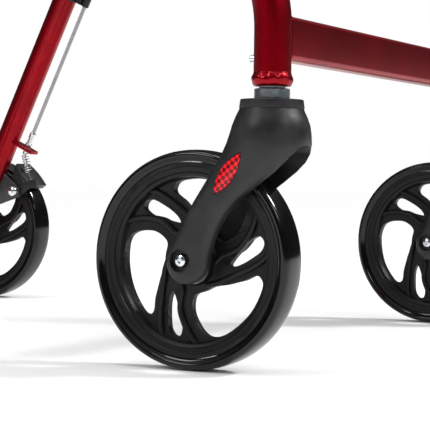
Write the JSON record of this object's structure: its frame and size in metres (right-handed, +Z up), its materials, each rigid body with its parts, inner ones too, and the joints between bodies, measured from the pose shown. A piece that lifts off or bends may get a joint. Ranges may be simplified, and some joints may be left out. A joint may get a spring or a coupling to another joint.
{
  "type": "rollator walker",
  "caption": "Wheeled walking frame that folds front to back, with swivelling front casters, hand brakes, adjustable handles, a lift-up padded seat, a back rest and a bag.",
  "frame": {"origin": "middle of the footprint, on the floor", "axes": "+Z up; the front casters are at -Y and the grips point to +Y; +X is the side named left"},
  "size_m": [0.6516, 0.8536, 0.9235],
  "materials": {
    "red_paint": "candy metallic gloss",
    "zinc": "bright zinc plate",
    "black_plastic": "satin moulded",
    "grey_plastic": "satin moulded, fine grain",
    "red_lens": "prismatic reflector",
    "tyre": "smooth, semi-gloss",
    "cable": "grey PVC sheath",
    "anodised": "satin anodised",
    "grip_rubber": "ribbed soft rubber",
    "black_paint": "satin black powder coat",
    "seat_cover": "black vinyl, fine grain",
    "bag_cloth": "woven nylon"
  },
  "bodies": {
    "front_frame": {"upright_left": "red_paint", "upright_right": "red_paint", "stem_bolt_left": "zinc", "stem_bolt_right": "zinc", "stem_nut_left": "zinc", "stem_nut_right": "zinc", "lower_crossbar": "red_paint", "seat_crossbar": "red_paint", "storage_bag": "bag_cloth"},
    "caster_left": {"fork_left": "grey_plastic", "fork_cap_left": "black_plastic", "reflector_left": "red_lens", "front_axle_left": "zinc"},
    "front_wheel_left": {"front_rim_left": "black_plastic", "front_tyre_left": "tyre"},
    "caster_right": {"fork_right": "grey_plastic", "fork_cap_right": "black_plastic", "reflector_right": "red_lens", "front_axle_right": "zinc"},
    "front_wheel_right": {"front_rim_right": "black_plastic", "front_tyre_right": "tyre"},
    "rear_frame": {"rear_crossbar": "red_paint", "rear_leg_left": "red_paint", "rear_axle_left": "zinc", "brake_bracket_left": "black_plastic", "brake_bolt_left": "zinc", "brake_spring_left": "zinc", "cable_clip_left": "black_plastic", "brake_cable_lower_left": "cable", "rear_leg_right": "red_paint", "rear_axle_right": "zinc", "brake_bracket_right": "black_plastic", "brake_bolt_right": "zinc", "brake_spring_right": "zinc", "cable_clip_right": "black_plastic", "brake_cable_lower_right": "cable"},
    "rear_wheel_left": {"rear_rim_left": "black_plastic", "rear_tyre_left": "tyre"},
    "brake_arm_left": {"brake_arm_left": "black_plastic"},
    "handle_left": {"handle_tube_left": "anodised", "grip_left": "grip_rubber", "lever_housing_left": "black_plastic", "brake_cable_upper_left": "cable"},
    "lever_left": {"brake_lever_left": "black_plastic"},
    "knob_left": {"height_knob_left": "black_plastic"},
    "rear_wheel_right": {"rear_rim_right": "black_plastic", "rear_tyre_right": "tyre"},
    "brake_arm_right": {"brake_arm_right": "black_plastic"},
    "handle_right": {"handle_tube_right": "anodised", "grip_right": "grip_rubber", "lever_housing_right": "black_plastic", "brake_cable_upper_right": "cable"},
    "lever_right": {"brake_lever_right": "black_plastic"},
    "knob_right": {"height_knob_right": "black_plastic"},
    "seat": {"seat_base": "black_plastic", "seat_pad": "seat_cover"},
    "backrest": {"back_bar": "black_paint", "back_pad": "seat_cover"}
  },
  "joints": [
    {"name": "caster_swivel_left", "type": "hinge", "parent": "front_frame", "child": "caster_left", "pos_m": [0.2925, -0.39375, 0.215], "axis": [0, 0, 1], "continuous": true},
    {"name": "front_wheel_spin_left", "type": "hinge", "parent": "caster_left", "child": "front_wheel_left", "pos_m": [0.2925, -0.32325, 0.095], "axis": [1, 0, 0], "continuous": true},
    {"name": "caster_swivel_right", "type": "hinge", "parent": "front_frame", "child": "caster_right", "pos_m": [-0.2925, -0.39375, 0.215], "axis": [0, 0, 1], "continuous": true},
    {"name": "front_wheel_spin_right", "type": "hinge", "parent": "caster_right", "child": "front_wheel_right", "pos_m": [-0.2925, -0.32325, 0.095], "axis": [1, 0, 0], "continuous": true},
    {"name": "frame_fold", "type": "hinge", "parent": "front_frame", "child": "rear_frame", "pos_m": [0, -0.09565, 0.76963], "axis": [1, 0, 0], "range_deg": [-35, 0], "deforming": ["brake_cable_lower_left", "brake_cable_lower_right"]},
    {"name": "rear_wheel_spin_left", "type": "hinge", "parent": "rear_frame", "child": "rear_wheel_left", "pos_m": [0.2925, 0.33175, 0.095], "axis": [1, 0, 0], "continuous": true},
    {"name": "handle_height_left", "type": "slide", "parent": "front_frame", "child": "handle_left", "axis": [0, 0.5592, 0.829], "range_m": [-0.04, 0.06], "deforming": ["brake_cable_upper_left"]},
    {"name": "knob_turn_left", "type": "hinge", "parent": "front_frame", "child": "knob_left", "pos_m": [0.2925, -0.07922, 0.794], "axis": [1, 0, 0], "continuous": true},
    {"name": "lever_squeeze_left", "type": "hinge", "parent": "handle_left", "child": "lever_left", "pos_m": [0.2925, 0.03327, 0.87805], "axis": [1, 0, 0], "range_deg": [0, 11], "stiffness_Nm_per_rad": 1},
    {"name": "shoe_turn_left", "type": "hinge", "parent": "rear_frame", "child": "brake_arm_left", "pos_m": [0.264, 0.26477, 0.14602], "axis": [1, 0, 0], "range_deg": [-6, 0], "deforming": ["brake_spring_left"]},
    {"name": "rear_wheel_spin_right", "type": "hinge", "parent": "rear_frame", "child": "rear_wheel_right", "pos_m": [-0.2925, 0.33175, 0.095], "axis": [1, 0, 0], "continuous": true},
    {"name": "handle_height_right", "type": "slide", "parent": "front_frame", "child": "handle_right", "axis": [0, 0.5592, 0.829], "range_m": [-0.04, 0.06], "deforming": ["brake_cable_upper_right"]},
    {"name": "knob_turn_right", "type": "hinge", "parent": "front_frame", "child": "knob_right", "pos_m": [-0.2925, -0.07922, 0.794], "axis": [1, 0, 0], "continuous": true},
    {"name": "lever_squeeze_right", "type": "hinge", "parent": "handle_right", "child": "lever_right", "pos_m": [-0.2925, 0.03327, 0.87805], "axis": [1, 0, 0], "range_deg": [0, 11], "stiffness_Nm_per_rad": 1},
    {"name": "shoe_turn_right", "type": "hinge", "parent": "rear_frame", "child": "brake_arm_right", "pos_m": [-0.264, 0.26477, 0.14602], "axis": [1, 0, 0], "range_deg": [-6, 0], "deforming": ["brake_spring_right"]},
    {"name": "seat_lift", "type": "hinge", "parent": "front_frame", "child": "seat", "pos_m": [0, -0.24717, 0.545], "axis": [1, 0, 0], "range_deg": [0, 45]},
    {"name": "backrest_lift", "type": "hinge", "parent": "front_frame", "child": "backrest", "pos_m": [0, -0.07315, 0.803], "axis": [1, 0, 0], "range_deg": [-80, 0]}
  ],
  "couplings": [
    {"joint": "shoe_turn_left", "follows": "lever_squeeze_left", "ratio": -0.5},
    {"joint": "shoe_turn_right", "follows": "lever_squeeze_right", "ratio": -0.5}
  ]
}
